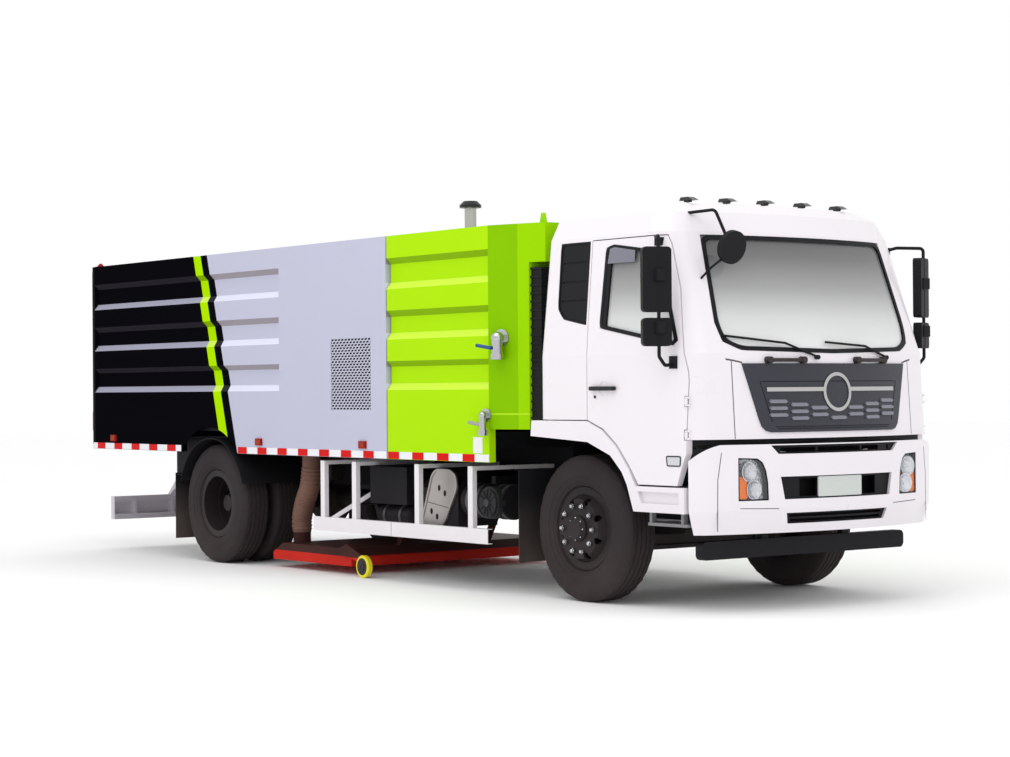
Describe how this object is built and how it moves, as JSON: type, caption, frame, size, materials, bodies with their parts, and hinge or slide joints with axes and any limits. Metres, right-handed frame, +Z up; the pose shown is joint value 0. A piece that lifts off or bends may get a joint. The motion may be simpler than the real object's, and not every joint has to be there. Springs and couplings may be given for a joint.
{
  "type": "street sweeper truck",
  "caption": "Forward-control street sweeper truck with a tipping debris tank, a suction nozzle between its axles, a tilting cab and steered front wheels.",
  "frame": {"origin": "on the ground, halfway along the overall length, on the centre plane", "axes": "+X forward, +Y to the truck's left, +Z up"},
  "size_m": [8.83, 2.8178, 2.981],
  "materials": {
    "white_paint": "gloss white paint",
    "lime_paint": "gloss lime green paint",
    "tank_paint": "gloss pale lavender grey paint with a black rear part and a lime stripe",
    "frame_paint": "satin black chassis paint",
    "dark_metal": "painted black cast metal",
    "engine_metal": "plain cast block",
    "grey_alloy": "brushed sheet",
    "black_plastic": "fine grained black plastic",
    "grille_plastic": "charcoal moulded plastic",
    "lamp_clear": "clear lamp cover over a bright reflector with an amber corner",
    "lamp_red": "red and amber lamp lenses",
    "lamp_amber": "pale lamp lens on a black base",
    "red_paint": "red paint with a dark worn top",
    "hose_rubber": "brown grey ribbed hose",
    "mudguard_rubber": "black moulded rubber",
    "chromed": "polished chrome",
    "steel": "bright galvanised and brushed steel",
    "tyre_rubber": "worn black tyre",
    "wheel_paint": "black painted steel wheel",
    "caster_paint": "yellow hub in a dark tread",
    "window_glass": "clear grey glass",
    "seat_fabric": "grey woven cover"
  },
  "bodies": {
    "chassis": {"frame_rails": "frame_paint", "crossmembers": "frame_paint", "front_axle_beam": "dark_metal", "rear_axle": "dark_metal", "leaf_springs": "dark_metal", "engines": "engine_metal", "tanks": "frame_paint", "side_boxes": "frame_paint", "side_guards": "white_paint", "mudguards": "mudguard_rubber", "underrun_beams": "frame_paint", "cab_mounts": "frame_paint", "suction_nozzle": "red_paint", "suction_hoses": "hose_rubber", "front_bumper": "white_paint", "bumper_inserts": "black_plastic", "headlamps": "lamp_clear", "bay_floor": "frame_paint", "bay_sides": "lime_paint", "bay_cover": "lime_paint", "exhaust_stack": "steel", "outlet_valves": "chromed", "air_intake": "black_plastic"},
    "tank": {"tank_floor": "frame_paint", "tank_sides": "tank_paint", "tank_panels": "tank_paint", "rear_frame": "tank_paint", "body_lamps": "lamp_red"},
    "tail_door": {"tail_door": "tank_paint"},
    "cab": {"cab_shell": "white_paint", "cab_roof": "white_paint", "cab_front_panel": "white_paint", "windscreen": "window_glass", "louvre_panels": "black_plastic", "grille": "grille_plastic", "wipers": "black_plastic", "cab_fenders": "white_paint", "front_mirror": "black_plastic", "cab_roof_lamps": "lamp_amber", "seats": "seat_fabric", "dashboard": "black_plastic"},
    "right_door": {"door_right": "white_paint", "door_glass_right": "window_glass", "mirror_right": "black_plastic"},
    "left_door": {"door_left": "white_paint", "door_glass_left": "window_glass", "mirror_left": "black_plastic"},
    "right_knuckle": {"knuckle_right": "dark_metal"},
    "left_knuckle": {"knuckle_left": "dark_metal"},
    "tie_rod": {"tie_rod": "dark_metal"},
    "front_right_wheel": {"front_rim_right": "wheel_paint", "front_tyre_right": "tyre_rubber"},
    "front_left_wheel": {"front_rim_left": "wheel_paint", "front_tyre_left": "tyre_rubber"},
    "rear_right_wheels": {"rear_rims_right": "wheel_paint", "rear_tyres_right": "tyre_rubber"},
    "rear_left_wheels": {"rear_rims_left": "wheel_paint", "rear_tyres_left": "tyre_rubber"},
    "right_nozzle_wheel": {"nozzle_wheel_right": "caster_paint"},
    "left_nozzle_wheel": {"nozzle_wheel_left": "caster_paint"}
  },
  "joints": [
    {"name": "cab_tilt", "type": "hinge", "parent": "chassis", "child": "cab", "pos_m": [4.33, 0, 1], "axis": [0, 1, 0], "range_deg": [0, 48]},
    {"name": "tank_tip", "type": "hinge", "parent": "chassis", "child": "tank", "pos_m": [-4.24, 0, 1.01], "axis": [0, -1, 0], "range_deg": [0, 45]},
    {"name": "tail_door_hinge", "type": "hinge", "parent": "tank", "child": "tail_door", "pos_m": [-4.39, 0, 2.715], "axis": [0, 1, 0], "range_deg": [0, 80]},
    {"name": "right_door_hinge", "type": "hinge", "parent": "cab", "child": "right_door", "pos_m": [4.105, -1.158, 1.4], "axis": [0, 0, 1], "range_deg": [0, 70]},
    {"name": "left_door_hinge", "type": "hinge", "parent": "cab", "child": "left_door", "pos_m": [4.105, 1.158, 1.4], "axis": [0, 0, -1], "range_deg": [0, 70]},
    {"name": "steer_right", "type": "hinge", "parent": "chassis", "child": "right_knuckle", "pos_m": [2.94, -0.8, 0.525], "axis": [0, 0, 1], "range_deg": [-35, 35]},
    {"name": "steer_left", "type": "hinge", "parent": "chassis", "child": "left_knuckle", "pos_m": [2.94, 0.8, 0.525], "axis": [0, 0, 1], "range_deg": [-35, 35]},
    {"name": "tie_rod_swing", "type": "hinge", "parent": "right_knuckle", "child": "tie_rod", "pos_m": [2.71, -0.8, 0.375], "axis": [0, 0, 1], "range_deg": [-35, 35]},
    {"name": "front_right_wheel_spin", "type": "hinge", "parent": "right_knuckle", "child": "front_right_wheel", "pos_m": [2.94, -0.981, 0.525], "axis": [0, 1, 0], "continuous": true},
    {"name": "front_left_wheel_spin", "type": "hinge", "parent": "left_knuckle", "child": "front_left_wheel", "pos_m": [2.94, 0.981, 0.525], "axis": [0, 1, 0], "continuous": true},
    {"name": "rear_right_wheels_spin", "type": "hinge", "parent": "chassis", "child": "rear_right_wheels", "pos_m": [-2.06, -0.931, 0.525], "axis": [0, 1, 0], "continuous": true},
    {"name": "rear_left_wheels_spin", "type": "hinge", "parent": "chassis", "child": "rear_left_wheels", "pos_m": [-2.06, 0.931, 0.525], "axis": [0, 1, 0], "continuous": true},
    {"name": "right_nozzle_wheel_spin", "type": "hinge", "parent": "chassis", "child": "right_nozzle_wheel", "pos_m": [0.179, -1.13, 0.092], "axis": [0, 1, 0], "continuous": true},
    {"name": "left_nozzle_wheel_spin", "type": "hinge", "parent": "chassis", "child": "left_nozzle_wheel", "pos_m": [0.179, 1.13, 0.092], "axis": [0, 1, 0], "continuous": true}
  ],
  "couplings": [
    {"joint": "steer_left", "follows": "steer_right", "ratio": 1},
    {"joint": "tie_rod_swing", "follows": "steer_right", "ratio": -1}
  ]
}
